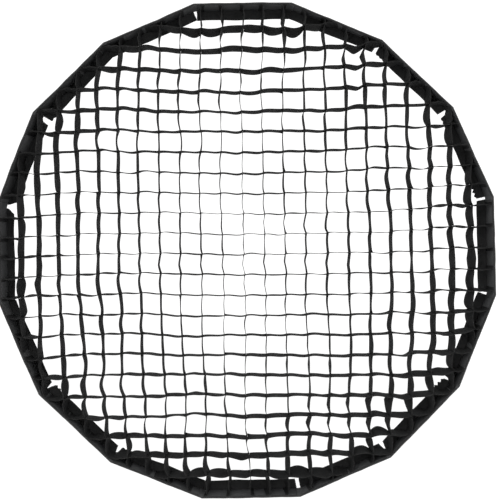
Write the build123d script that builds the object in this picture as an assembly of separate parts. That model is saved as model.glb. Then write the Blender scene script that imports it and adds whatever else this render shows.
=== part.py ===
from build123d import *
import math
import os

# A soft egg-crate grid for a sixteen-sided softbox. Millimetres, +Z up.
# The grid stands upright and faces -Y. The origin is the centre of the rear plane,
# where the hook tapes meet the softbox's lip, so everything lies at y <= 0.

# Driving dimensions
SIDES = 16
ACROSS_FLATS = 1200.0      # outside of the front edge binding
CELL_PITCH = 50.0          # from one strip's middle to the next
STRIPS_EACH_SIDE = 11      # strips on either side of the centre one
STRIP_DEPTH = 48.0
STRIP_THICKNESS = 1.2      # doubled fabric
SLOT_CLEARANCE = 0.2       # a slot is this much wider than the strip that it takes
BAND_THICKNESS = 1.2
BAND_OVERHANG = 5.0        # how far the rim band stands in front of the strips
BINDING_THICKNESS = 1.0
BINDING_WIDTH = 11.0       # each leg of the folded tape
FLAP_WIDTH = 24.0          # from its fold to its free edge
FLAP_THICKNESS = 1.2
FLAP_CORNER_GAP = 3.0      # from the corner to the end of the fold
FLAP_END_ANGLE = 13.0      # the ends lean in by this angle
TAPE_THICKNESS = 1.6
TAPE_WIDTH = 20.0
TAPE_END_MARGIN = 3.0
FOLD_CLEARANCE = 0.4       # between the fold and the rim band
REST_CLEARANCE = 0.5       # between a folded flap and the strips

# Depths, from the rear plane forwards
FLAP_BACK_Y = -TAPE_THICKNESS
FOLD_Y = FLAP_BACK_Y - FLAP_THICKNESS / 2
FLAP_FRONT_Y = FLAP_BACK_Y - FLAP_THICKNESS
STRIP_BACK_Y = FLAP_FRONT_Y - REST_CLEARANCE
STRIP_FRONT_Y = STRIP_BACK_Y - STRIP_DEPTH
STRIP_MIDDLE_Y = (STRIP_BACK_Y + STRIP_FRONT_Y) / 2
BAND_BACK_Y = FLAP_FRONT_Y - FOLD_CLEARANCE
BAND_FRONT_Y = STRIP_FRONT_Y - BAND_OVERHANG
BINDING_FRONT_Y = BAND_FRONT_Y - BINDING_THICKNESS
BINDING_BACK_Y = BINDING_FRONT_Y + BINDING_WIDTH

# Radii, from the axis to the middle of a side
HALF_TURN = 180.0 / SIDES
BINDING_OUTER = ACROSS_FLATS / 2
BAND_OUTER = BINDING_OUTER - BINDING_THICKNESS
BAND_INNER = BAND_OUTER - BAND_THICKNESS
BINDING_INNER = BAND_INNER - BINDING_THICKNESS
FOLD_RADIUS = BAND_OUTER - BAND_THICKNESS / 2


def half_side(apothem):
    """Half the length of a side of the sixteen-sided outline."""
    return apothem * math.tan(math.radians(HALF_TURN))


def prism(apothem, front_y, back_y):
    """The sixteen-sided outline, flat side up, filled from front_y to back_y."""
    corner_radius = apothem / math.cos(math.radians(HALF_TURN))
    outline = RegularPolygon(corner_radius, SIDES, rotation=HALF_TURN)
    return extrude(Plane.XZ.offset(-back_y) * outline, back_y - front_y)


def slab(points, front_y, back_y):
    """A plate with this outline, given as (x, z) points, from front_y to back_y."""
    outline = make_face(Polyline(*points, close=True))
    return extrude(Plane.XZ.offset(-back_y) * outline, back_y - front_y)


def turned(solid, side):
    """A solid made for the top side, moved to another side, clockwise seen from the front."""
    return solid.rotate(Axis.Y, side * 360.0 / SIDES)


def room_for_strips():
    """The space inside the rim, less the inner leg of the binding."""
    behind_binding = prism(BAND_INNER, BINDING_BACK_Y, STRIP_BACK_Y)
    inside_binding = prism(BINDING_INNER, STRIP_FRONT_Y, BINDING_BACK_Y)
    return behind_binding + inside_binding


def slots(front_y, back_y):
    """A row of slot cutters along X, one at each crossing of an upright strip."""
    width = STRIP_THICKNESS + SLOT_CLEARANCE
    cutter = Box(width, back_y - front_y, 3 * STRIP_THICKNESS)
    middle_y = (front_y + back_y) / 2
    numbers = range(-STRIPS_EACH_SIDE, STRIPS_EACH_SIDE + 1)
    return [Pos(n * CELL_PITCH, middle_y, 0) * cutter for n in numbers]


def strip_blank(slot_front_y, slot_back_y):
    """A long slotted strip along X at z = 0, before its ends are cut to the rim."""
    middle_y = (STRIP_FRONT_Y + STRIP_BACK_Y) / 2
    plate = Pos(0, middle_y, 0) * Box(2.1 * BINDING_OUTER, STRIP_DEPTH, STRIP_THICKNESS)
    return plate - slots(slot_front_y, slot_back_y)


def cross_strip(blank, room, number):
    """The horizontal strip this many pitches above the centre."""
    return (Pos(0, 0, number * CELL_PITCH) * blank) & room


def upright_strip(blank, room, number):
    """The vertical strip this many pitches to the right of the centre."""
    return (Pos(number * CELL_PITCH, 0, 0) * blank.rotate(Axis.Y, 90)) & room


def band_panel():
    """The top panel of the rim band, mitred to its neighbours."""
    outer = half_side(BAND_OUTER)
    inner = half_side(BAND_INNER)
    points = [(-outer, BAND_OUTER), (outer, BAND_OUTER), (inner, BAND_INNER), (-inner, BAND_INNER)]
    return slab(points, BAND_FRONT_Y, BAND_BACK_Y)


def binding():
    """The tape folded over the front edge of the rim band, a channel all the way round."""
    outside = prism(BINDING_OUTER, BINDING_FRONT_Y, BINDING_BACK_Y)
    hollow = prism(BINDING_INNER, BINDING_FRONT_Y - 1, BINDING_BACK_Y + 1)
    around = prism(BAND_OUTER, BAND_FRONT_Y, BINDING_BACK_Y + 1)
    within = prism(BAND_INNER, BAND_FRONT_Y - 1, BINDING_BACK_Y + 2)
    seat = around - within
    return outside - hollow - seat


def flap_outline(fold_gap, low, high, margin):
    """A trapezoid below the fold of the top side. low and high are distances from the fold."""
    half_fold = half_side(FOLD_RADIUS) - fold_gap - margin
    lean = math.tan(math.radians(FLAP_END_ANGLE))
    half_high = half_fold - high * lean
    half_low = half_fold - low * lean
    top = FOLD_RADIUS - high
    bottom = FOLD_RADIUS - low
    return [(-half_high, top), (half_high, top), (half_low, bottom), (-half_low, bottom)]


def flap():
    """The top mounting flap, folded in behind the strips, with a rounded fold."""
    half_length = half_side(FOLD_RADIUS) - FLAP_CORNER_GAP
    free_edge = FOLD_RADIUS - FLAP_WIDTH
    back = Vector(-half_length, FLAP_BACK_Y, FOLD_RADIUS)
    bulge = Vector(-half_length, FOLD_Y, FOLD_RADIUS + FLAP_THICKNESS / 2)
    front = Vector(-half_length, FLAP_FRONT_Y, FOLD_RADIUS)
    free_front = Vector(-half_length, FLAP_FRONT_Y, free_edge)
    free_back = Vector(-half_length, FLAP_BACK_Y, free_edge)
    rounded = ThreePointArc(back, bulge, front)
    straight = Polyline(front, free_front, free_back, back)
    section = make_face([*rounded.edges(), *straight.edges()])
    blank = extrude(section, amount=2 * half_length, dir=(1, 0, 0))
    outline = flap_outline(FLAP_CORNER_GAP, FLAP_WIDTH + 1, -1, 0)
    return blank & slab(outline, FLAP_FRONT_Y - 1, FLAP_BACK_Y + 1)


def hook_tape():
    """The hook tape on the rear face of the top mounting flap."""
    margin = (FLAP_WIDTH - TAPE_WIDTH) / 2
    points = flap_outline(FLAP_CORNER_GAP, FLAP_WIDTH - margin, margin, TAPE_END_MARGIN)
    return slab(points, FLAP_BACK_Y, 0)


def write(node, solids):
    """One STEP file for each node, with its solids side by side."""
    shape = solids[0] if len(solids) == 1 else Compound(children=solids)
    export_step(shape, f"parts/{node}.step")


def only_solid(shape):
    """The one solid of a boolean's result."""
    found = shape.solids()
    if len(found) != 1:
        raise ValueError(f"expected one solid, and got {len(found)}")
    return found[0]


def main():
    os.makedirs("parts", exist_ok=True)
    room = room_for_strips()
    upright_blank = strip_blank(STRIP_FRONT_Y - 1, STRIP_MIDDLE_Y)
    cross_blank = strip_blank(STRIP_MIDDLE_Y, STRIP_BACK_Y + 1)
    write("upright_strip_centre", [only_solid(upright_strip(upright_blank, room, 0))])
    write("cross_strip_centre", [only_solid(cross_strip(cross_blank, room, 0))])
    for number in range(1, STRIPS_EACH_SIDE + 1):
        uprights = [only_solid(upright_strip(upright_blank, room, n)) for n in (-number, number)]
        crosses = [only_solid(cross_strip(cross_blank, room, n)) for n in (-number, number)]
        write(f"upright_strips_{number:02d}", uprights)
        write(f"cross_strips_{number:02d}", crosses)
    panel = only_solid(band_panel())
    write("rim_band_panels", [turned(panel, side) for side in range(SIDES)])
    write("front_edge_binding", [only_solid(binding())])
    top_flap = only_solid(flap())
    top_tape = only_solid(hook_tape())
    for side in range(SIDES):
        write(f"mounting_flap_{side + 1:02d}", [turned(top_flap, side)])
        write(f"hook_tape_{side + 1:02d}", [turned(top_tape, side)])


main()
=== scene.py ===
"""The looks of a soft egg-crate grid for a sixteen-sided softbox, built round the CAD model. Metres."""
import math

import bpy
import numpy as np
from mathutils import Matrix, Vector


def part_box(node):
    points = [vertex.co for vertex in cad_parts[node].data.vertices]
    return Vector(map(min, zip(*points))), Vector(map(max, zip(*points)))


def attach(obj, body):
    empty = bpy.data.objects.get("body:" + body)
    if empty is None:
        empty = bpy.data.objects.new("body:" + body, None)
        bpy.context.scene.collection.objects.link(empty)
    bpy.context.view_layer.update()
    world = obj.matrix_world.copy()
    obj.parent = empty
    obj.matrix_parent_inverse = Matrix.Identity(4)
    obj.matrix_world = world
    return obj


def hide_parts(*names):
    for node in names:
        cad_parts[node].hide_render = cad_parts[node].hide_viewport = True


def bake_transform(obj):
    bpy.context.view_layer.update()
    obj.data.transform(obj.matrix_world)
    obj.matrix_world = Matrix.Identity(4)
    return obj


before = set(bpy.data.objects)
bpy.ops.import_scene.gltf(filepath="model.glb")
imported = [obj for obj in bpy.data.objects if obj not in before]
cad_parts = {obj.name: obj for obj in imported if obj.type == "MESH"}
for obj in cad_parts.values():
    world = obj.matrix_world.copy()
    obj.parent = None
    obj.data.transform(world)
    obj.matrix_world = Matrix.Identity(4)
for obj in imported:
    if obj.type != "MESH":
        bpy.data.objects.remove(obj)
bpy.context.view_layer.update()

MM = 0.001
SIDES = 16
STRIPS_EACH_SIDE = 11

# ------------------------------------------------------------------ sizes read from the CAD model

BINDING_LOW, BINDING_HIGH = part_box("front_edge_binding")
BAND_LOW, BAND_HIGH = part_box("rim_band_panels")
STRIP_LOW, STRIP_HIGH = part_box("upright_strip_centre")
FLAP_LOW, FLAP_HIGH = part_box("mounting_flap_01")
TAPE_LOW, TAPE_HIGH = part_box("hook_tape_01")

STRIP_THICKNESS = STRIP_HIGH.x - STRIP_LOW.x
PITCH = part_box("upright_strips_01")[1].x - STRIP_THICKNESS / 2
STRIP_FRONT, STRIP_REAR = STRIP_LOW.y, STRIP_HIGH.y
STRIP_DEPTH = STRIP_REAR - STRIP_FRONT

OUTER = BINDING_HIGH.z                      # apothem of the whole outline
BAND_THICKNESS = 1.2 * MM
BAND_MIDDLE = BAND_HIGH.z - BAND_THICKNESS / 2
BAND_FRONT, BAND_REAR = BAND_LOW.y, BAND_HIGH.y
BINDING_FRONT, BINDING_REAR = BINDING_LOW.y, BINDING_HIGH.y
FOLD_Y = (FLAP_LOW.y + FLAP_HIGH.y) / 2     # the flaps' fold axes lie in this plane
FLAP_WIDTH = BAND_MIDDLE - FLAP_LOW.z
FLAP_HALF_LENGTH = FLAP_HIGH.x
TAPE_WIDTH = TAPE_HIGH.z - TAPE_LOW.z
TAPE_HALF_LENGTH = TAPE_HIGH.x
STITCH_PITCH, STITCH_LENGTH = 4.2 * MM, 3.0 * MM

HALF_TURN = math.pi / SIDES
SIDE_ANGLES = [side * 2 * HALF_TURN for side in range(SIDES)]   # clockwise from the top, from the front


def half_side(apothem):
    """Half the length of a side of the sixteen-sided outline."""
    return apothem * math.tan(HALF_TURN)


def outward(angle):
    """The (x, z) direction out of a side."""
    return np.array([math.sin(angle), math.cos(angle)])


def along_side(angle):
    """The (x, z) direction along a side, clockwise seen from the front."""
    return np.array([math.cos(angle), -math.sin(angle)])


# ------------------------------------------------------------------ seeded, smooth unevenness

def blurred(field, passes_along, passes_across):
    """A field softened along its first and second axis."""
    for axis, passes in ((0, passes_along), (1, passes_across)):
        for _ in range(passes):
            field = (np.roll(field, 1, axis) + 2 * field + np.roll(field, -1, axis)) / 4
    return field


def uneven(seed, shape, passes_along, passes_across):
    """Seeded noise with a mean of 0 and a spread of 1, softened along each axis."""
    field = blurred(np.random.RandomState(seed).standard_normal(shape), passes_along, passes_across)
    return (field - field.mean()) / field.std()


def ripple(seed, where, scale):
    """Smooth noise along a line: a sum of three waves, from -1 to 1. scale is the longest wavelength."""
    rng = np.random.RandomState(seed)
    total = 0.0
    for octave in range(3):
        wave = scale / (1.0 + 0.9 * octave)
        total = total + np.sin(2 * math.pi * (where / wave + rng.rand())) / (1.6 + octave)
    return total / 1.4


def smooth_step(t):
    t = np.clip(t, 0.0, 1.0)
    return t * t * (3 - 2 * t)


def bump_at(u, w, reach):
    """A round bump of height 1 at the origin that falls away over this reach."""
    return math.exp(-(u**2 + w**2) / reach**2)


# ------------------------------------------------------------------ meshes

def add_mesh(name, vertices, faces, material, smooth=True):
    """A mesh object at the origin, with one material. faces is a list of lists."""
    mesh = bpy.data.meshes.new(name)
    mesh.from_pydata(vertices.reshape(-1, 3).tolist(), [], faces)
    mesh.materials.append(material)
    if smooth:
        mesh.shade_smooth()
    piece = bpy.data.objects.new(name, mesh)
    bpy.context.scene.collection.objects.link(piece)
    return piece


def add_cloth_attributes(piece, cloth, wear):
    """Where each vertex lies on its cloth, in metres, and how worn it is, for the materials. On the binding
    the wear also carries a painted highlight along its front edge.
    """
    mesh = piece.data
    mesh.attributes.new("cloth", "FLOAT_VECTOR", "POINT").data.foreach_set("vector", cloth.ravel())
    mesh.attributes.new("wear", "FLOAT", "POINT").data.foreach_set("value", wear.ravel())


def cloth_normals(grid, closed):
    """Unit normals of a surface given as a grid of points."""
    if closed:
        along = np.roll(grid, -1, 0) - np.roll(grid, 1, 0)
    else:
        along = np.gradient(grid, axis=0)
    across = np.gradient(grid, axis=1)
    normal = np.cross(along, across)
    return normal / np.linalg.norm(normal, axis=2, keepdims=True)


def thick_cloth(name, grid, material, thickness, along, across, wear, present=None, closed=False):
    """A closed mesh round a grid of points: two faces a thickness apart, and walls along every edge.

    present says which cells of the grid hold cloth, and closed that the last column meets the first.
    """
    columns, rows = grid.shape[:2]
    cells = columns if closed else columns - 1
    if present is None:
        present = np.ones((cells, rows - 1), bool)
    normal = cloth_normals(grid, closed)
    half = (np.broadcast_to(thickness, (columns, rows)) / 2)[..., None]
    count = columns * rows
    vertices = np.concatenate([(grid + normal * half).reshape(-1, 3), (grid - normal * half).reshape(-1, 3)])
    number = np.arange(count).reshape(columns, rows)
    following = np.roll(number, -1, 0)[:cells] if closed else number[1:]
    number = number[:cells]
    corners = [number[:, :-1], following[:, :-1], following[:, 1:], number[:, 1:]]
    upper = np.stack([c[present] for c in corners], 1)
    faces = [upper, upper[:, ::-1] + count]
    padded = np.pad(present, 1)
    if closed:
        padded[0, 1:-1] = present[-1]
        padded[-1, 1:-1] = present[0]
    beside = [padded[1:-1, :-2], padded[2:, 1:-1], padded[1:-1, 2:], padded[:-2, 1:-1]]
    for edge in range(4):
        open_edge = present & ~beside[edge]
        start, end = corners[edge][open_edge], corners[(edge + 1) % 4][open_edge]
        faces.append(np.stack([end, start, start + count, end + count], 1))
    faces = np.concatenate(faces)
    used, inverse = np.unique(faces, return_inverse=True)
    piece = add_mesh(name, vertices[used], inverse.reshape(faces.shape).tolist(), material)
    place = np.stack([along, across, np.zeros_like(along)], 2).reshape(-1, 3)
    add_cloth_attributes(piece, np.concatenate([place, place])[used].astype(np.float32),
                         np.tile(wear.ravel(), 2)[used].astype(np.float32))
    return piece


def add_stitches(name, starts, directions, normals, length, thread, material):
    """A row of short raised stitches, each a small arched, six-sided bead of thread."""
    rings, corners = 5, 6
    lengths = np.linspace(-0.5, 0.5, rings) * length
    swell = np.sqrt(np.clip(1 - (2 * np.linspace(-0.5, 0.5, rings)) ** 2, 0.06, 1))
    turn = np.arange(corners) * 2 * math.pi / corners
    sideways = np.cross(directions, normals)
    lift = (swell - swell.min()) * thread * 0.35
    spine = starts[:, None] + directions[:, None] * lengths[:, None] + normals[:, None] * lift[:, None]
    ring = (sideways[:, None, None] * np.cos(turn)[:, None] + normals[:, None, None] * np.sin(turn)[:, None])
    vertices = spine[:, :, None] + ring * (swell[:, None, None] * thread / 2)
    total = len(starts)
    number = np.arange(total * rings * corners).reshape(total, rings, corners)
    around = np.roll(number, -1, 2)
    sides = np.stack([number[:, :-1], around[:, :-1], around[:, 1:], number[:, 1:]], 3).reshape(-1, 4)
    caps = number[:, 0].tolist() + number[:, -1, ::-1].tolist()
    return add_mesh(name, vertices, sides.tolist() + caps, material)


# ------------------------------------------------------------------ materials

class Nodes:
    """Short calls for building a material's node tree."""

    def __init__(self, name):
        self.material = bpy.data.materials.new(name)
        self.material.use_nodes = True
        self.tree = self.material.node_tree
        self.shader = self.tree.nodes["Principled BSDF"]

    def put(self, socket, value):
        if isinstance(value, bpy.types.NodeSocket):
            self.tree.links.new(value, socket)
        else:
            socket.default_value = value

    def math(self, operation, a, b=0.0):
        node = self.tree.nodes.new("ShaderNodeMath")
        node.operation = operation
        self.put(node.inputs[0], a)
        self.put(node.inputs[1], b)
        return node.outputs[0]

    def between(self, value, low, high, to_low=0.0, to_high=1.0):
        """A value's place between low and high, as a number from to_low to to_high."""
        node = self.tree.nodes.new("ShaderNodeMapRange")
        for socket, number in zip(node.inputs, (value, low, high, to_low, to_high)):
            self.put(socket, number)
        return node.outputs[0]

    def attribute(self, name):
        node = self.tree.nodes.new("ShaderNodeAttribute")
        node.attribute_name = name
        return node

    def split(self, vector):
        node = self.tree.nodes.new("ShaderNodeSeparateXYZ")
        self.put(node.inputs[0], vector)
        return node.outputs

    def noise(self, size, detail=3.0, vector=None):
        """Noise whose grains are about this large."""
        node = self.tree.nodes.new("ShaderNodeTexNoise")
        place = self.tree.nodes.new("ShaderNodeTexCoord").outputs["Object"] if vector is None else vector
        self.put(node.inputs["Vector"], place)
        node.inputs["Scale"].default_value = 1.0 / size
        node.inputs["Detail"].default_value = detail
        return node.outputs["Fac"]

    def mix(self, share, a, b):
        node = self.tree.nodes.new("ShaderNodeMix")
        node.data_type = "RGBA"
        self.put(node.inputs["Factor"], share)
        self.put(node.inputs["A"], a)
        self.put(node.inputs["B"], b)
        return node.outputs["Result"]

    def bump(self, height, distance, strength, normal=None):
        node = self.tree.nodes.new("ShaderNodeBump")
        node.inputs["Distance"].default_value = distance
        node.inputs["Strength"].default_value = strength
        self.put(node.inputs["Height"], height)
        if normal is not None:
            self.put(node.inputs["Normal"], normal)
        return node.outputs["Normal"]

    def set(self, name, value):
        self.put(self.shader.inputs[name], value)


def grey(value, warmth=0.0):
    """A near-neutral linear colour."""
    return (value * (1 + warmth), value, value * (1 - warmth), 1.0)


def woven(name, dark, light, thread, sheen, crease_size, worn, ribbed=False, stitch_inset=None, pucker=None):
    """Black woven cloth: a weave of threads, soft creases, patchy colour, and paler edges: worn cloth, which
    on the binding's front edge is also a painted highlight.

    pucker is the spacing of the small folds that its stitching gathers along its edges.
    """
    n = Nodes(name)
    along, across, _ = n.split(n.attribute("cloth").outputs["Vector"])
    turns = 2 * math.pi / thread
    warp = n.math("SINE", n.math("MULTIPLY", along, turns))
    weft = n.math("SINE", n.math("MULTIPLY", across, turns))
    weave = n.math("ABSOLUTE", warp) if ribbed else n.math("MULTIPLY", warp, weft)
    fuzz = n.noise(thread * 3.0, 4.0)
    patches = n.noise(crease_size * 2.2, 2.0)
    creases = n.noise(crease_size, 3.0)
    tone = n.math("ADD", n.math("MULTIPLY", patches, 0.7), n.math("MULTIPLY", fuzz, 0.45))
    colour = n.mix(n.between(tone, 0.4, 0.8), grey(dark, -0.01), grey(light, -0.01))
    # The worn colour where the wear attribute says: real wear on most cloth, and on the binding's folded
    # front edge also a painted highlight.
    wear_and_highlight = n.math("MULTIPLY", n.attribute("wear").outputs["Fac"], n.between(fuzz, 0.35, 0.7))
    colour = n.mix(wear_and_highlight, colour, grey(worn, 0.02))
    height = n.math("ADD", n.math("MULTIPLY", weave, 0.5), n.math("MULTIPLY", fuzz, 0.7))
    if stitch_inset is not None:
        seam = n.math("SUBTRACT", n.math("ABSOLUTE", across), stitch_inset)
        on_line = n.math("LESS_THAN", n.math("ABSOLUTE", seam), 0.45 * MM)
        dash = n.math("LESS_THAN", n.math("FRACT", n.math("MULTIPLY", along, 1 / (3.6 * MM))), 0.72)
        stitch = n.math("MULTIPLY", on_line, dash)
        colour = n.mix(stitch, colour, grey(worn * 0.8))
        height = n.math("ADD", height, n.math("MULTIPLY", stitch, 1.2))
    n.set("Base Color", colour)
    n.set("Roughness", n.between(fuzz, 0.3, 0.75, 0.72, 0.95))
    n.set("Specular IOR Level", 0.06)
    n.set("Sheen Weight", sheen)
    n.set("Sheen Roughness", 0.45)
    n.set("Sheen Tint", (0.75, 0.78, 0.82, 1.0))
    folded = n.bump(creases, 2.2 * MM, 0.7)
    if pucker is not None:
        place = n.math("MULTIPLY", along, 2 * math.pi / pucker)
        place = n.math("ADD", place, n.math("MULTIPLY", patches, 9.0))
        fade = n.math("EXPONENT", n.math("MULTIPLY", across, -1 / (6 * MM)))
        folded = n.bump(n.math("MULTIPLY", n.math("SINE", place), fade), 0.45 * MM, 0.7, folded)
    n.set("Normal", n.bump(height, 0.12 * MM, 0.8, folded))
    return n.material


def hook_nylon(name):
    """The stiff, slightly glossy nylon of a hook tape."""
    n = Nodes(name)
    grain = n.noise(0.9 * MM, 3.0)
    n.set("Base Color", n.mix(n.between(grain, 0.3, 0.7), grey(0.008), grey(0.02)))
    n.set("Roughness", n.between(grain, 0.3, 0.7, 0.38, 0.6))
    n.set("Specular IOR Level", 0.5)
    n.set("Normal", n.bump(grain, 0.1 * MM, 0.5))
    return n.material


def thread_material(name):
    """Polyester sewing thread, a little paler than the cloth."""
    n = Nodes(name)
    twist = n.noise(0.5 * MM, 2.0)
    n.set("Base Color", n.mix(n.between(twist, 0.3, 0.7), grey(0.02), grey(0.06)))
    n.set("Roughness", n.between(twist, 0.3, 0.7, 0.45, 0.7))
    n.set("Sheen Weight", 0.25)
    n.set("Normal", n.bump(twist, 0.08 * MM, 0.6))
    return n.material


def pale_floor(name):
    """A plain pale floor."""
    n = Nodes(name)
    n.set("Base Color", n.mix(n.noise(0.6, 2.0), (0.90, 0.90, 0.90, 1.0), (0.93, 0.93, 0.93, 1.0)))
    n.set("Roughness", 0.9)
    n.set("Specular IOR Level", 0.1)
    return n.material


STRIP_CLOTH = woven("strip_cloth", 0.010, 0.019, 1.1 * MM, 0.01, 24 * MM, 0.03,
                    stitch_inset=3.4 * MM, pucker=7 * MM)
RIM_CLOTH = woven("rim_cloth", 0.040, 0.070, 1.3 * MM, 0.10, 34 * MM, 0.08, pucker=9 * MM)
# The binding's paler worn colour is partly wear and partly a painted highlight along its front edge.
BINDING_CLOTH = woven("binding_cloth", 0.026, 0.042, 2.4 * MM, 0.04, 30 * MM, 0.035, ribbed=True)
FLAP_CLOTH = woven("flap_cloth", 0.027, 0.050, 1.2 * MM, 0.06, 28 * MM, 0.06, pucker=8 * MM)
TAPE_CLOTH = woven("tape_cloth", 0.012, 0.02, 0.9 * MM, 0.05, 20 * MM, 0.04)
HOOKS = hook_nylon("tape_hooks")
THREAD = thread_material("sewing_thread")


# ------------------------------------------------------------------ how the rim's cloth stands

# Where the rim's front edge has been pulled out or in: (millimetres out, bearing, reach in degrees).
PULLS = ((-5.5, 38, 24), (7.5, -66, 20), (4.5, -113, 16), (2.0, 100, 24))


def rim_lean(bearing):
    """How far the rim's front edge stands out at a bearing, clockwise from the top."""
    lean = 0.0
    for amount, centre, width in PULLS:
        gap = (bearing - math.radians(centre) + math.pi) % (2 * math.pi) - math.pi
        lean = lean + amount * MM * np.exp(-((gap / math.radians(width)) ** 2))
    return lean


def wall_wave(side, along, y):
    """How far the rim's cloth stands out from its true plane. It fades out towards the flaps' folds."""
    free = smooth_step((BAND_REAR - y) / (BAND_REAR - BAND_FRONT))
    ends = np.cos(np.clip(along / half_side(BAND_MIDDLE), -1, 1) * math.pi / 2) ** 0.7
    bulge = [0.7, -0.6, 0.4, -0.8][side % 4] * (0.6 + 0.4 * math.cos(side * 2.4))
    wave = ripple(side + 70, along, 0.16) + 0.5 * ripple(side + 90, along + y * 0.8, 0.06)
    bearing = SIDE_ANGLES[side] + np.arctan2(along, BAND_MIDDLE)
    return free * (rim_lean(bearing) + ends * (bulge + wave * 0.7) * MM)


# ------------------------------------------------------------------ the lattice of strips

NUMBERS = np.arange(-STRIPS_EACH_SIDE, STRIPS_EACH_SIDE + 1)
WALL = BAND_MIDDLE - BAND_THICKNESS / 2     # apothem of the rim's inside
LAP = WALL - 1.8 * MM                       # where the middle of a sewn end tab lies
TAB_LENGTH = 8 * MM
ROWS = np.array([0.0, 0.09, 0.3, 0.5, 0.7, 0.91, 1.0])      # from a strip's rear edge to its front edge
STEPS = 10                                  # lengths that each cell's side is divided into
SLOT_HALF_WIDTH = STRIP_THICKNESS / 2 + 0.35 * MM
SHAPE = (len(NUMBERS), len(NUMBERS))        # by upright, then by cross strip


def apothem_of(x, z):
    """How far out a point is, measured square to the side that it is nearest."""
    return max(x * outward(a)[0] + z * outward(a)[1] for a in SIDE_ANGLES)


def drift(x, z):
    """How far the slack cloth has shifted and sagged from its cut place at the middle of its depth."""
    u, w = x / OUTER, z / OUTER
    sideways = -8 + 20 * u + 11 * u**2 - 16 * u**3 - 9 * u**4
    sideways = sideways + 3 * u * w - 4 * w**2 - 23 * u * w**2 + 14 * w**4 + 16 * max(u, 0)**2 * max(w, 0)
    sideways = sideways + 5 * smooth_step((-u - 0.83) / 0.08)
    sideways = sideways + 4 * bump_at(u - 0.3, w + 0.68, 0.2) - 6 * bump_at(u - 0.15, w + 0.95, 0.17)
    sideways = sideways - 4 * bump_at(u + 0.7, w - 0.5, 0.25) - 6 * bump_at(u + 0.9, w + 0.4, 0.16)
    upwards = -10 - 16 * u + 23 * u**2 + 23 * u**3 - 29 * u**4
    upwards = upwards + 3 * u * w + 2 * w**2 + 16 * u**2 * w + 12 * u * w**2
    upwards = upwards + 9 * smooth_step((-w - 0.75) / 0.17) + 7 * bump_at(u + 0.98, w + 0.3, 0.28)
    return np.array([sideways, upwards]) * MM


def looseness(x, z):
    """0 in the middle of the grid, where the strips are taut, and 1 near the rim."""
    return smooth_step((np.hypot(x, z) - 0.22) / 0.34)


def front_lean(x, z):
    """How far the strips' front edges lean: in towards the grid's centre lines, and out near the rim."""
    u, w = x / OUTER, z / OUTER
    sideways = -1.5 * u * (1 - (u / (0.75 if u > 0 else 0.95)) ** 4)
    sideways = sideways + 2.0 * np.clip(u / 0.15, -1, 1) * smooth_step((-w - 0.72) / 0.1)
    upwards = -1.3 * w * (1 - (w / 0.75) ** 4) + 1.9 * (0.35 - u) * smooth_step(-w / 0.35)
    at_left = smooth_step((-u - 0.6) / 0.2) * bump_at(0, w, 0.5)
    upwards = upwards + 1.2 * np.clip((w - 0.06) / 0.1, -1, 1) * at_left
    return np.array([sideways, upwards]) * MM


def crossing_places():
    """For each upright and cross strip, where they cross at the rear edge and at the front edge."""
    wander = [uneven(seed, SHAPE, 1, 1) * 1.5 * MM for seed in (11, 12)]
    lean = [uneven(seed, SHAPE, 1, 1) * MM for seed in (13, 14)]
    places = np.zeros((2, *SHAPE, 2))
    for i, m in enumerate(NUMBERS):
        for j, n in enumerate(NUMBERS):
            x, z = m * PITCH, n * PITCH
            room = smooth_step((WALL - apothem_of(x, z)) / (55 * MM))
            loose = looseness(x, z)
            shift = drift(x, z) + np.array([wander[0][i, j], wander[1][i, j]]) * (1 + 0.6 * loose)
            tilt = np.array([lean[0][i, j], lean[1][i, j]]) * (0.3 + 0.5 * loose)
            tilt = tilt + front_lean(x, z)
            for edge, sign in enumerate((-1, 1)):
                places[edge, i, j] = np.array([x, z]) + (shift + sign * tilt) * room
    return places


CROSSINGS = crossing_places()
HELD = np.array([[apothem_of(m * PITCH, n * PITCH) < WALL - 6 * MM for n in NUMBERS] for m in NUMBERS])

# Each stretch of a strip between two crossings bows, or breaks at a crease. Both run on from one
# strip to the next beside it, because the grid was folded as a whole.
BOW = {"upright": uneven(21, SHAPE, 2, 0), "cross": uneven(22, SHAPE, 0, 2)}
EDGE_BOW = {"upright": uneven(23, (2, *SHAPE), 0, 1), "cross": uneven(24, (2, *SHAPE), 0, 1)}
PEAK = {"upright": uneven(25, SHAPE, 2, 0), "cross": uneven(26, SHAPE, 0, 2)}
CREASED = {"upright": uneven(27, SHAPE, 3, 0), "cross": uneven(28, SHAPE, 0, 3)}
SLOPE = {"upright": uneven(29, SHAPE, 1, 0), "cross": uneven(30, SHAPE, 0, 1)}
FLARE = {"upright": uneven(31, SHAPE, 0, 0), "cross": uneven(32, SHAPE, 0, 0)}
BIAS = {"upright": -1.7 * MM, "cross": -0.3 * MM}
TWIST = {"upright": 0.0, "cross": 0.17}     # each crossing has turned, so a cross strip rises through it
GAPE = {("upright", -1): 0.4, ("upright", 1): 1.0, ("cross", -1): 1.0, ("cross", 1): 0.5}
CORNERS = [(WALL / math.cos(HALF_TURN)) * outward(angle + HALF_TURN) for angle in SIDE_ANGLES]


def hermite(t, start, end, start_slope, end_slope):
    """A cubic from start to end with these slopes at its ends."""
    return ((2 * t**3 - 3 * t**2 + 1) * start + (t**3 - 2 * t**2 + t) * start_slope
            + (3 * t**2 - 2 * t**3) * end + (t**3 - t**2) * end_slope)


def bow_shape(t, peak, creased):
    """From 0 at both crossings to 1 at the peak: a soft bow, or a crease with straight sides."""
    bent = np.where(t < peak, t / peak, (1 - t) / (1 - peak))
    soft = np.sin(math.pi / 2 * np.clip(bent, 0, 1))
    return creased * bent + (1 - creased) * soft


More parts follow.
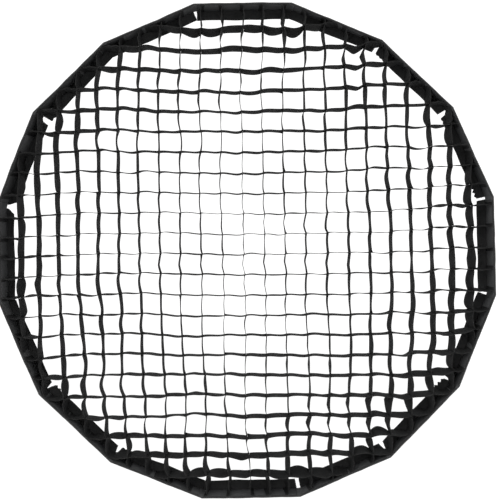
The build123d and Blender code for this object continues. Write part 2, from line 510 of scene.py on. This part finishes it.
def fold_line(family, i, j, middle):
    """How far a stretch was pushed aside where the whole grid was once folded, or 0."""
    x, z = middle
    if family == "upright" and NUMBERS[j] == -1:
        return -3.4 * MM * (1 - 0.75 * smooth_step((abs(x) - 0.2) / 0.2))
    if family == "upright" and NUMBERS[j] in (-8, -9) and x > 0.12:
        return -4.0 * MM
    if family == "upright" and NUMBERS[j] == 9 and x > 0.2:
        return -4.5 * MM
    if family == "cross" and NUMBERS[i] == 5 and z > 0.36:
        return -5.5 * MM
    return 0.0


def away(family, middle):
    """The sideways direction that leads out from the grid's centre line, as 1 or -1."""
    return 1 if middle[0 if family == "upright" else 1] >= 0 else -1


def corner_pull(family, middle):
    """How far a stretch beside a corner of the rim is pushed away from it, where the seams bulge inwards."""
    nearest = min(CORNERS, key=lambda corner: np.hypot(*(np.array(middle) - corner)))
    gap = np.array(middle) - nearest
    sideways = gap[0] if family == "upright" else gap[1]
    return math.copysign(9 * MM, sideways) * (1 - smooth_step((np.hypot(*gap) - 55 * MM) / (25 * MM)))


def stretch_bow(family, i, j, t, depth, middle):
    """How far a stretch of strip stands out sideways. depth is 0 at its rear edge and 1 at its front edge."""
    loose = looseness(*middle)
    fold = fold_line(family, i, j, middle)
    amount = fold if fold else BIAS[family] + (0.8 + 1.4 * loose) * MM * BOW[family][i, j]
    edge = EDGE_BOW[family][1 if depth > 0.5 else 0, i, j]
    near_rim = smooth_step((apothem_of(*middle) - 0.46) / 0.08)
    leaf = 1.0 + 0.7 * (1 - near_rim) * (abs(edge) > 1.5)
    amount = amount + (0.3 + 0.75 * loose) * leaf * MM * float(np.clip(edge, -2, 2)) * abs(2 * depth - 1)
    side = away(family, middle)
    gape = (0.9 + 0.6 * abs(BOW[family][i, j])) * near_rim * MM
    amount = amount + gape * GAPE[family, side] * side * (2 * depth - 1)
    pull = corner_pull(family, middle) * (0.3 + 0.6 * min(1.5, abs(BOW[family][i, j])))
    amount = amount + pull * (1 - 0.75 * depth)
    peak = 0.5 + 0.12 * float(np.clip(PEAK[family][i, j], -2, 2))
    creased = 0.85 if fold else float(smooth_step(CREASED[family][i, j] - 0.8)) * 0.8
    return amount * (1 + 0.4 * creased) * bow_shape(t, peak, creased)


def lip_flare(family, i, j, distance, depth):
    """How far the lips of a slot curl away from the strip that stands in it."""
    open_side = max(0.0, 2 * depth - 1) if family == "upright" else max(0.0, 1 - 2 * depth)
    value = FLARE[family][i, j]
    amount = 0.35 * MM * value + (2.4 * MM if value > 1.25 else 0.0)
    return amount * open_side**2 * np.exp(-np.abs(distance) / (4.5 * MM)) * np.sign(distance)


def wall_meeting(start, heading, y):
    """Where a line from start meets the wall that the end tabs lie on, and on which side."""
    found = []
    for side, angle in enumerate(SIDE_ANGLES):
        facing = float(heading @ outward(angle))
        if facing > 0.2:
            found.append(((LAP - float(start @ outward(angle))) / facing, side, facing))
    distance, side, facing = min(found)
    place = float((start + heading * distance) @ along_side(SIDE_ANGLES[side]))
    return start + heading * (distance + wall_wave(side, place, y) / facing), side


def end_path(last, heading, choice, y):
    """Where a strip starts to turn onto the wall, and the (x, z) points of the turn and its sewn end tab."""
    meeting, side = wall_meeting(last, heading, y)
    wall_way = along_side(SIDE_ANGLES[side])
    place = float(meeting @ wall_way)
    room = half_side(LAP) - 2 * MM
    turn = float(heading @ wall_way)
    sign = math.copysign(1.0, turn if abs(turn) > 0.15 else choice)
    if sign * place > room - TAB_LENGTH and abs(turn) < 0.6:
        sign = -sign
    tab = max(4 * MM, min(TAB_LENGTH, room - sign * place))
    lead = float(np.linalg.norm(meeting - last))
    rounding = min(4 * MM, 0.4 * lead, 0.5 * tab)
    straight_end = meeting - heading * rounding
    tab_way = wall_way * sign
    turned = meeting + tab_way * rounding
    bend = []
    for t in np.linspace(0, 1, 5):
        bend.append((1 - t) ** 2 * straight_end + 2 * t * (1 - t) * meeting + t * t * turned)
    rest = [meeting + tab_way * (rounding + (tab - rounding) * t) for t in (0.5, 1.0)]
    return straight_end, np.array(bend + rest)


def strip_columns(family, index):
    """Which strips of the other family cross this one."""
    held = HELD[index] if family == "upright" else HELD[:, index]
    return np.flatnonzero(held)


def cell_of(family, index, other):
    """A crossing's (upright, cross) numbers in the tables above, from this strip's and the other's."""
    return (index, other) if family == "upright" else (other, index)


def crossing(family, index, other, depth):
    """The crossing's (along, sideways) place on this strip, at this depth."""
    i, j = cell_of(family, index, other)
    x, z = CROSSINGS[0, i, j] * (1 - depth) + CROSSINGS[1, i, j] * depth
    return (z, x) if family == "upright" else (x, z)


def strip_row(family, index, depth):
    """One line along a strip at a depth, as (x, z) points, and which lengths of it are slot."""
    others = strip_columns(family, index)
    knots = np.array([crossing(family, index, o, depth) for o in others])
    chords = np.diff(knots[:, 1]) / np.diff(knots[:, 0])
    inner = (chords[1:] + chords[:-1]) / 2 if len(chords) > 1 else np.zeros(0)
    slopes = np.concatenate([[chords[0]], inner, [chords[-1]]]) * 0.8
    cells = [cell_of(family, index, o) for o in others]
    slopes = slopes + TWIST[family] + np.array([0.05 * SLOPE[family][cell] for cell in cells])
    points, slot = [], []

    def sideways_near(number, distance):
        flare = lip_flare(family, *cells[number], distance, depth)
        return knots[number, 1] + slopes[number] * distance + flare

    for number in range(len(others)):
        for distance in (-SLOT_HALF_WIDTH, SLOT_HALF_WIDTH):
            points.append((knots[number, 0] + distance, sideways_near(number, distance)))
            slot.append(distance < 0)
        if number == len(others) - 1:
            break
        start, end = knots[number], knots[number + 1]
        length = end[0] - start[0]
        t = np.linspace(SLOT_HALF_WIDTH, length - SLOT_HALF_WIDTH, STEPS + 1)[1:-1] / length
        side = hermite(t, start[1], end[1], slopes[number] * length, slopes[number + 1] * length)
        middle = (start + end) / 2
        middle = middle[::-1] if family == "upright" else middle
        side = side + stretch_bow(family, *cells[number], t, depth, middle)
        side = side + lip_flare(family, *cells[number], t * length, depth)
        side = side + lip_flare(family, *cells[number + 1], (t - 1) * length, depth)
        points.extend(zip(start[0] + t * length, side))
        slot.extend([False] * len(t))
    line = np.array(points)
    return (line[:, ::-1] if family == "upright" else line), slot


def strip_ends(family, index, line, depth):
    """A line with its two end tabs added."""
    parts = [line]
    lengths = []
    steps = 7
    shares = np.linspace(0, 1, steps + 1)[1:-1]
    for end, sign in ((0, -1), (-1, 1)):
        way = np.array([0.0, sign]) if family == "upright" else np.array([sign, 0.0])
        choice = BOW[family][index, (index * 7 + end) % len(NUMBERS)]
        straight_end, bend = end_path(line[end], way, choice, STRIP_REAR - depth * STRIP_DEPTH)
        lead = np.array([line[end] + (straight_end - line[end]) * t for t in shares])
        bulge = 1.6 * MM * ripple(index * 5 + end + 40, np.linspace(0, 0.05, steps - 1), 0.06)
        gape = 2.4 * MM * min(1.0, np.linalg.norm(straight_end - line[end]) / (25 * MM))
        sideways = np.array([1.0, 0.0]) if family == "upright" else np.array([0.0, 1.0])
        fade = np.sin(math.pi * shares)
        push = bulge * (0.4 + abs(2 * depth - 1)) + gape * away(family, line[end]) * (2 * depth - 1)
        lead = lead + np.outer(push * fade, sideways)
        path = np.concatenate([lead, bend])
        lengths.append(len(path))
        parts = [path[::-1], *parts] if end == 0 else [*parts, path]
    return np.concatenate(parts), lengths


def strip_grid(family, index):
    """The middle surface of a strip, and which of its cells hold cloth."""
    rows, slot, tails = [], None, None
    for depth in ROWS:
        line, slot = strip_row(family, index, depth)
        path, tails = strip_ends(family, index, line, depth)
        rows.append(path)
    flat = np.array(rows).transpose(1, 0, 2)
    columns = len(flat)
    run = np.arange(columns)
    dip = 0.5 * MM * (1 + ripple(index + 60, run * 5 * MM, 0.13))
    y = STRIP_REAR - 0.15 * MM - (STRIP_DEPTH - 0.4 * MM) * ROWS[None, :]
    y = y + dip[:, None] * (ROWS[None, :] - 0.2)
    y = np.minimum(y, STRIP_REAR - 0.1 * MM)
    grid = np.stack([flat[..., 0], np.broadcast_to(y, flat.shape[:2]), flat[..., 1]], 2)
    present = np.ones((columns - 1, len(ROWS) - 1), bool)
    slotted = ROWS[:-1] >= 0.5 if family == "upright" else ROWS[1:] <= 0.5
    for column in np.flatnonzero(slot):
        present[tails[0] + column, slotted] = False
    return grid, present


def add_strip(family, index):
    """One long slotted strip of doubled cloth, sewn to the rim at both ends."""
    number = int(NUMBERS[index])
    grid, present = strip_grid(family, index)
    middle = grid[:, len(ROWS) // 2]
    steps = np.linalg.norm(np.diff(middle, axis=0), axis=1)
    run = np.concatenate([[0.0], np.cumsum(steps)])
    along = np.broadcast_to(run[:, None], grid.shape[:2])
    from_edge = np.minimum(ROWS, 1 - ROWS) * STRIP_DEPTH
    across = np.broadcast_to(from_edge[None, :], grid.shape[:2])
    wear = np.broadcast_to((from_edge < 1 * MM).astype(float)[None, :], grid.shape[:2])
    thickness = STRIP_THICKNESS * np.where(from_edge < 1 * MM, 0.75, np.where(from_edge < 6 * MM, 1.2, 0.85))
    name = f"{family}_strip_cloth_{index + 1:02d}"
    piece = thick_cloth(name, grid, STRIP_CLOTH, thickness[None, :], along, across, wear, present)
    node = f"{family}_strip_centre" if number == 0 else f"{family}_strips_{abs(number):02d}"
    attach(piece, "grid")
    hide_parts(node)
    return piece


# ------------------------------------------------------------------ the rim

def side_points(side, along, apothem, y):
    """Points on a side, from how far along it, how far out and how deep they are. Each may be an array."""
    x = along * along_side(SIDE_ANGLES[side])[0] + apothem * outward(SIDE_ANGLES[side])[0]
    z = along * along_side(SIDE_ANGLES[side])[1] + apothem * outward(SIDE_ANGLES[side])[1]
    return np.stack(np.broadcast_arrays(x, y, z), -1)


SEAM_INSET = 1.5 * MM      # how far a seam allowance lies inside the next panel


def add_rim_panel(side):
    """One panel of the rim band. Its clockwise end turns the corner as a seam allowance inside the next."""
    reach = half_side(BAND_MIDDLE)
    depths = np.linspace(BAND_REAR - 0.1 * MM, BAND_FRONT + 0.2 * MM, 13)
    along = np.concatenate([np.linspace(-reach + 0.4 * MM, reach - 5 * MM, 60), [reach - 2.5 * MM]])
    grid_along, grid_y = np.meshgrid(along, depths, indexing="ij")
    ease = smooth_step((grid_along - (reach - 6 * MM)) / (5 * MM)) * SEAM_INSET
    out = BAND_MIDDLE + wall_wave(side, grid_along, grid_y) - ease
    body = side_points(side, grid_along, out, grid_y)
    beyond = (side + 1) % SIDES
    tail = np.array([1.0, 4.0, 8.0]) * MM - half_side(BAND_MIDDLE - SEAM_INSET)
    tail_along, tail_y = np.meshgrid(tail, depths, indexing="ij")
    tail_out = BAND_MIDDLE - SEAM_INSET + wall_wave(beyond, tail_along, tail_y)
    grid = np.concatenate([body, side_points(beyond, tail_along, tail_out, tail_y)])
    run = np.concatenate([[0.0], np.cumsum(np.linalg.norm(np.diff(grid[:, 6], axis=0), axis=1))])
    along_map = np.broadcast_to(run[:, None], grid.shape[:2])
    across_map = np.broadcast_to(np.minimum(depths - BAND_FRONT, BAND_REAR - depths)[None, :], grid.shape[:2])
    wear = np.zeros(grid.shape[:2])
    wear[:2] = 0.6
    piece = thick_cloth(f"rim_panel_cloth_{side + 1:02d}", grid, RIM_CLOTH, BAND_THICKNESS * 0.85,
                        along_map, across_map, wear)
    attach(piece, "grid")
    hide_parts("rim_band_panels")
    return piece


def binding_profile():
    """The folded tape's middle line, as (how far out from the band's middle, y) points, inside leg first."""
    leg = BAND_THICKNESS / 2 + 0.65 * MM
    front = BAND_FRONT - 0.5 * MM
    points = [(-leg, y) for y in np.linspace(BINDING_REAR, front + leg, 6)]
    for turn in np.linspace(0, math.pi, 7)[1:-1]:
        points.append((-leg * math.cos(turn), front + leg - leg * math.sin(turn)))
    points += [(leg, y) for y in np.linspace(front + leg, BINDING_REAR, 6)]
    return np.array(points)


def binding_column(side, place, reach, profile):
    """The tape's profile at one place along a side. At a corner it lies on the mitre between two sides."""
    out = profile[:, 0] + BAND_MIDDLE + wall_wave(side, place, profile[:, 1])
    along = place * (1 + (abs(place) / reach) ** 12 * (out / BAND_MIDDLE - 1))
    return side_points(side, along, out, profile[:, 1])


def add_binding():
    """The ribbed tape folded over the rim's front edge, one closed ring."""
    profile = binding_profile()
    reach = half_side(BAND_MIDDLE)
    each = 78
    places = np.concatenate([np.linspace(-reach, reach, each, endpoint=False)[1:], [reach]])
    columns = []
    for side in range(SIDES):
        for place in places:
            columns.append(binding_column(side, place, reach, profile))
    grid = np.array(columns)
    run = np.linspace(0, SIDES * 2 * reach, len(grid), endpoint=False)
    along = np.broadcast_to(run[:, None], grid.shape[:2])
    travel = np.concatenate([[0.0], np.cumsum(np.linalg.norm(np.diff(profile, axis=0), axis=1))])
    across = np.broadcast_to(travel[None, :], grid.shape[:2])
    # A paler band along the tape's folded front edge: partly wear, partly a painted highlight.
    edge = np.exp(-((travel - travel[-1] / 2) / (2.2 * MM)) ** 2)
    wear = np.broadcast_to(edge[None, :], grid.shape[:2])
    piece = thick_cloth("binding_tape", grid, BINDING_CLOTH, 0.8 * MM, along, across, wear, closed=True)
    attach(piece, "grid")
    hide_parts("front_edge_binding")
    return piece


def stitch_row(name, sides, span, out_of, y_of, facing, body):
    """Rows of stitches along several sides. out_of and y_of give their place, facing the way they face."""
    starts, ways, normals = [], [], []
    for side in sides:
        places = np.arange(*span, STITCH_PITCH)
        starts.append(side_points(side, places, out_of(side, places), y_of(side, places)))
        way, out = along_side(SIDE_ANGLES[side]), outward(SIDE_ANGLES[side])
        ways.append(np.tile([way[0], 0.0, way[1]], (len(places), 1)))
        normals.append(np.tile([facing[0] * out[0], facing[1], facing[0] * out[1]], (len(places), 1)))
    piece = add_stitches(name, np.concatenate(starts), np.concatenate(ways), np.concatenate(normals),
                         STITCH_LENGTH, 0.6 * MM, THREAD)
    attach(piece, body)
    return piece


def add_binding_stitches():
    """The two visible rows of stitches that hold the tape, one inside and one outside."""
    y = BINDING_REAR - 2.2 * MM
    reach = half_side(BAND_MIDDLE) - 3 * MM
    for name, sign in (("inside", -1), ("outside", 1)):
        leg = BAND_MIDDLE + sign * (BAND_THICKNESS / 2 + 1.1 * MM)
        stitch_row(f"binding_stitches_{name}", range(SIDES), (-reach, reach),
                   lambda side, places: leg + wall_wave(side, places, y),
                   lambda side, places: y, (sign, 0.0), "grid")


# ------------------------------------------------------------------ the mounting flaps and their hook tape

FLAP_THICKNESS = 0.9 * MM
FLAP_DROP = 0.4 * MM                         # how far the folded flaps sag off their folds
ALLOWANCE = 11 * MM                          # sewn flat on the rim's outside
SEWN_AT = BAND_MIDDLE + BAND_THICKNESS / 2 + FLAP_THICKNESS / 2 + 0.1 * MM     # the allowance's middle
SEWN_FRONT = FOLD_Y - (SEWN_AT - BAND_MIDDLE) - ALLOWANCE
FLAP_LEAN = math.tan(math.radians(13.0))
TOOTH, TOOTH_DEPTH = 4.0 * MM, 1.4 * MM      # the zigzag cut at a flap's ends

# How open the gap between two flaps is at each corner, at the fold and at the free edge: 0 where the two
# ends meet, 1 as cut, and more where they are drawn apart. Corner 0 follows side 0, the top one.
GAPS = [(0.0, 0.0), (1.0, 1.0), (1.2, 1.4), (0.8, 0.6), (1.0, 0.2), (0.4, 0.7), (0.3, 1.2), (1.2, 1.0),
        (0.0, 0.0), (0.3, 1.2), (0.2, 1.0), (0.0, 0.0), (1.2, 3.0), (1.6, 1.6), (0.0, 0.0), (1.0, 0.0)]

# The ends of some flaps' free edges are crumpled: how much, by side and end (-1 or 1).
CRUMPLED = {(3, 1): 1.0, (6, -1): 1.2, (10, 1): 1.0, (3, -1): 0.5, (2, -1): 0.5, (9, 1): 0.5, (14, -1): 0.6}
CRUMPLE_PITCH = 11 * MM


def flap_tuck(side):
    """How far the free edge of a flap is drawn back towards its fold, which is most at the left."""
    angle = SIDE_ANGLES[side]
    return 1.5 * MM * max(0.0, math.cos(angle - 1.9)) + 6.5 * MM * math.exp(-(((angle - 4.6) / 0.5) ** 2))


def flap_wave(side, along, down):
    """How far a flap's cloth stands back from its true plane. A flap that is drawn back bulges."""
    free = smooth_step(down / FLAP_WIDTH)
    bulge = 0.55 * flap_tuck(side) * np.sin(math.pi * np.clip(down / FLAP_WIDTH, 0, 1))
    return free * 0.35 * MM * (1 + ripple(side + 120, along, 0.09)) + bulge


def flap_hang(side, along, down):
    """How far a flap's cloth is drawn back towards the fold by its slack, from its cut place."""
    tuck = flap_tuck(side)
    zigzag = 4 * abs((along / CRUMPLE_PITCH) % 1 - 0.5) - 1
    for sign in (-1, 1):
        near_end = smooth_step((along * sign - FLAP_HALF_LENGTH + 40 * MM) / (8 * MM))
        tuck = tuck + 3.0 * MM * CRUMPLED.get((side, sign), 0) * near_end * zigzag
    return smooth_step(down / FLAP_WIDTH) * (tuck + 1.3 * MM * ripple(side + 140, along, 0.15))


def flap_end(side, sign, down):
    """How far along a side one end of a flap reaches, before it is cut zigzag, and how open its gap is."""
    at_fold, at_edge = GAPS[side if sign > 0 else side - 1]
    openness = at_fold + (at_edge - at_fold) * smooth_step(down / FLAP_WIDTH)
    cut = FLAP_HALF_LENGTH - down * FLAP_LEAN
    hang = flap_hang(side, sign * FLAP_HALF_LENGTH, down)
    mitre = half_side(BAND_MIDDLE - FLAP_DROP - down + hang)
    return mitre + (cut - mitre) * openness, openness


def flap_section():
    """The flap's middle line, as (apothem, y, distance beyond the fold) points, from its sewn edge."""
    radius = SEWN_AT - BAND_MIDDLE
    points = [(SEWN_AT, y, 0.0) for y in np.linspace(SEWN_FRONT, FOLD_Y - radius, 6)]
    for turn in np.linspace(0, math.pi / 2, 5)[1:]:
        points.append((BAND_MIDDLE + radius * math.cos(turn), FOLD_Y - radius + radius * math.sin(turn), 0.0))
    for down in np.arange(1, 13) * FLAP_WIDTH / 12:
        points.append((BAND_MIDDLE - down, FOLD_Y, down))
    return np.array(points)


def add_flap(side):
    """One mounting flap: its sewn edge stays on the rim, it turns at the fold, and its ends are pinked."""
    section = flap_section()
    shares = np.linspace(-1, 1, 85)
    down = section[:, 2]
    teeth = TOOTH_DEPTH * (abs(2 * ((down / TOOTH) % 1) - 1) - 1) * np.clip(down / (2 * MM), 0, 1)
    ends = np.abs(shares)[:, None] ** 36      # close to 0 but at a flap's two ends
    along = np.zeros((len(shares), len(down)))
    for sign in (-1, 1):
        reach, openness = flap_end(side, sign, down)
        half = reach[None, :] + ends * (teeth * np.clip(openness, 0, 1))[None, :]
        along = np.where(shares[:, None] * sign > 0, shares[:, None] * half, along)
    hang = flap_hang(side, along, down[None, :])
    y = section[:, 1][None, :] + flap_wave(side, along, down[None, :])
    apothem = section[:, 0][None, :] + hang - FLAP_DROP * (down[None, :] > 0)
    apothem = apothem + wall_wave(side, along, np.minimum(section[:, 1], BAND_REAR)[None, :])
    grid = side_points(side, along, apothem, y)
    travel = np.concatenate([[0.0], np.cumsum(np.hypot(np.diff(section[:, 0]), np.diff(section[:, 1])))])
    across = np.broadcast_to(travel[None, :], along.shape)
    wear = np.broadcast_to((down[None, :] > FLAP_WIDTH - 1 * MM) * 0.7, along.shape) + ends * 0.6
    piece = thick_cloth(f"flap_cloth_{side + 1:02d}", grid, FLAP_CLOTH, FLAP_THICKNESS, along, across, wear)
    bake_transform(piece)
    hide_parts(f"mounting_flap_{side + 1:02d}")
    return piece


def add_allowance_stitches():
    """Two rows of stitches through each flap's sewn edge, on the rim's outside."""
    reach = FLAP_HALF_LENGTH - 3 * MM
    for name, y in (("front", SEWN_FRONT + 2.0 * MM), ("rear", SEWN_FRONT + 8.5 * MM)):
        stitch_row(f"flap_stitches_{name}", range(SIDES), (-reach, reach),
                   lambda side, places: SEWN_AT + FLAP_THICKNESS / 2 + wall_wave(side, places, y),
                   lambda side, places: y, (1, 0.0), "grid")


TAPE_BASE_THICKNESS = 0.7 * MM
TAPE_BASE_Y = FOLD_Y + FLAP_THICKNESS / 2 + TAPE_BASE_THICKNESS / 2 + 0.05 * MM
TAPE_DOWN = (BAND_MIDDLE - TAPE_HIGH.z, BAND_MIDDLE - TAPE_LOW.z)    # its edges, from the fold
TAPE_INSET = 3.5 * MM       # between the ends of a tape and of its flap, at least
HOOK_PITCH = 2.4 * MM


def tape_end(side, sign, down):
    """How far along a side its hook tape reaches, at one end."""
    cut = TAPE_HALF_LENGTH - (down - TAPE_DOWN[0]) * FLAP_LEAN
    return np.minimum(cut, flap_end(side, sign, down)[0] - TAPE_INSET)


def add_tape_stitches(side):
    """Two rows of stitches along the tape's long edges."""
    pieces = []
    for name, down in (("outer", TAPE_DOWN[0] + 1.2 * MM), ("inner", TAPE_DOWN[1] - 1.2 * MM)):
        span = (2 * MM - tape_end(side, -1, down), tape_end(side, 1, down) - 2 * MM)
        pieces.append(stitch_row(
            f"hook_tape_stitches_{name}_{side + 1:02d}", [side], span,
            lambda s, places: BAND_MIDDLE - down + flap_hang(s, places, down),
            lambda s, places: TAPE_BASE_Y + TAPE_BASE_THICKNESS / 2 + flap_wave(s, places, down),
            (0.0, 1.0), f"flap_{side + 1:02d}"))
    return pieces


def add_hooks(side, middle):
    """The tape's rows of small hooks, each a tapered stalk that bends over to one side."""
    across = np.arange(-TAPE_WIDTH / 2 + 2.2 * MM, TAPE_WIDTH / 2 - 2 * MM, HOOK_PITCH)
    starts = []
    for row, offset in enumerate(across):
        down = BAND_MIDDLE - (middle - offset)
        first = 2.5 * MM - tape_end(side, -1, down) + (row % 2) * HOOK_PITCH / 2
        for place in np.arange(first, tape_end(side, 1, down) - 2.5 * MM, HOOK_PITCH):
            starts.append((place, down, 1.0 if row % 2 else -1.0))
    starts = np.array(starts)
    along, down, bend = starts.T
    base_y = TAPE_BASE_Y + TAPE_BASE_THICKNESS / 2 + flap_wave(side, along, down) - 0.05 * MM
    hang = flap_hang(side, along, down)
    profile = [(0.0, 0.0, 0.26), (0.02, 0.4, 0.2), (0.2, 0.68, 0.17), (0.5, 0.6, 0.1)]    # millimetres
    rings = []
    for lean, height, thick in profile:
        for corner in range(4):
            turn = math.pi / 4 + corner * math.pi / 2
            a = along + bend * lean * MM + math.cos(turn) * thick * MM
            d = down + math.sin(turn) * thick * MM
            rings.append(side_points(side, a, BAND_MIDDLE - d + hang, base_y + height * MM))
    vertices = np.stack(rings, 1)
    number = np.arange(vertices.shape[0] * vertices.shape[1]).reshape(-1, len(profile), 4)
    around = np.roll(number, -1, 2)
    walls = np.stack([number[:, :-1], around[:, :-1], around[:, 1:], number[:, 1:]], 3).reshape(-1, 4)
    caps = np.concatenate([number[:, 0, ::-1], number[:, -1]])
    faces = np.concatenate([walls, caps]).tolist()
    piece = add_mesh(f"hook_tape_hooks_{side + 1:02d}", vertices, faces, HOOKS)
    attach(piece, f"flap_{side + 1:02d}")
    return piece


def add_tape(side):
    """The hook tape sewn on a flap's rear face: its woven base."""
    middle = (TAPE_LOW.z + TAPE_HIGH.z) / 2
    columns, rows = 81, 9
    downs = BAND_MIDDLE - (middle + np.linspace(0.5, -0.5, rows) * TAPE_WIDTH)
    low, high = -tape_end(side, -1, downs), tape_end(side, 1, downs)
    along = low[None, :] + np.linspace(0, 1, columns)[:, None] * (high - low)[None, :]
    y = TAPE_BASE_Y + flap_wave(side, along, downs[None, :])
    apothem = BAND_MIDDLE - downs[None, :] + flap_hang(side, along, downs[None, :])
    grid = side_points(side, along, apothem, y)
    across = np.broadcast_to(downs[None, :], along.shape)
    wear = np.zeros(along.shape)
    wear[:, [0, -1]] = 0.6
    piece = thick_cloth(f"hook_tape_base_{side + 1:02d}", grid, TAPE_CLOTH, TAPE_BASE_THICKNESS,
                        along, across, wear)
    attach(piece, f"flap_{side + 1:02d}")
    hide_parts(f"hook_tape_{side + 1:02d}")
    fittings = [add_hooks(side, middle), *add_tape_stitches(side)]
    return piece


# ------------------------------------------------------------------ floor, light and camera

FLOOR_Z = -2.5


def add_floor():
    """A plain pale floor, well below the grid, which hangs in front of its raised softbox."""
    reach, corners = 14.0, 48
    ring = np.arange(corners) * 2 * math.pi / corners
    vertices = np.stack([reach * np.cos(ring), reach * np.sin(ring), np.full(corners, FLOOR_Z)], 1)
    floor = add_mesh("floor", vertices, [list(range(corners))], pale_floor("floor_paint"), smooth=False)


def add_area_light(name, place, target, size, power):
    light = bpy.data.lights.new(name, "AREA")
    light.shape = "DISK"
    light.size = size
    light.energy = power
    holder = bpy.data.objects.new(name, light)
    bpy.context.scene.collection.objects.link(holder)
    back = np.array(place) - np.array(target)
    back = back / np.linalg.norm(back)
    right = np.cross([0.0, 0.0, 1.0], back)
    right = right / np.linalg.norm(right)
    up = np.cross(back, right)
    facing = Matrix(np.stack([right, up, back], 1).tolist())
    holder.matrix_world = Matrix.Translation(place) @ facing.to_4x4()


def add_light():
    """Even white surroundings and two large soft lights in front."""
    world = bpy.data.worlds.new("studio")
    bpy.context.scene.world = world
    world.use_nodes = True
    world.node_tree.nodes["Background"].inputs["Color"].default_value = (1.0, 1.0, 1.0, 1.0)
    world.node_tree.nodes["Background"].inputs["Strength"].default_value = 1.16
    add_area_light("key", (-1.6, -3.0, 2.2), (0, 0, 0), 2.4, 50)
    add_area_light("fill", (2.4, -2.6, 0.6), (0, 0, 0), 2.4, 20)
    bpy.context.scene.view_settings.view_transform = "Standard"


CAMERA_DISTANCE = 1.75                       # from the rim's front edge
FRAME_WIDTH = 1.009 * 2 * OUTER              # what the picture spans at the rim's front edge


def add_camera():
    """Straight in front, a little above and to the left of the centre, and rolled by a degree."""
    data = bpy.data.cameras.new("camera")
    data.sensor_width = 36.0
    data.lens = data.sensor_width * CAMERA_DISTANCE / FRAME_WIDTH
    data.shift_x = 0.014
    data.shift_y = -0.03
    data.clip_end = 60.0
    camera = bpy.data.objects.new("camera", data)
    bpy.context.scene.collection.objects.link(camera)
    camera.location = (-9 * MM, BINDING_FRONT - CAMERA_DISTANCE, 37 * MM)
    camera.rotation_euler = (math.pi / 2, math.radians(1.0), 0.0)
    bpy.context.scene.camera = camera


# ------------------------------------------------------------------ everything

add_camera()
add_light()
add_floor()
for strip_index in range(len(NUMBERS)):
    add_strip("upright", strip_index)
    add_strip("cross", strip_index)
for rim_side in range(SIDES):
    add_rim_panel(rim_side)
    add_flap(rim_side)
    add_tape(rim_side)
add_binding()
add_binding_stitches()
add_allowance_stitches()
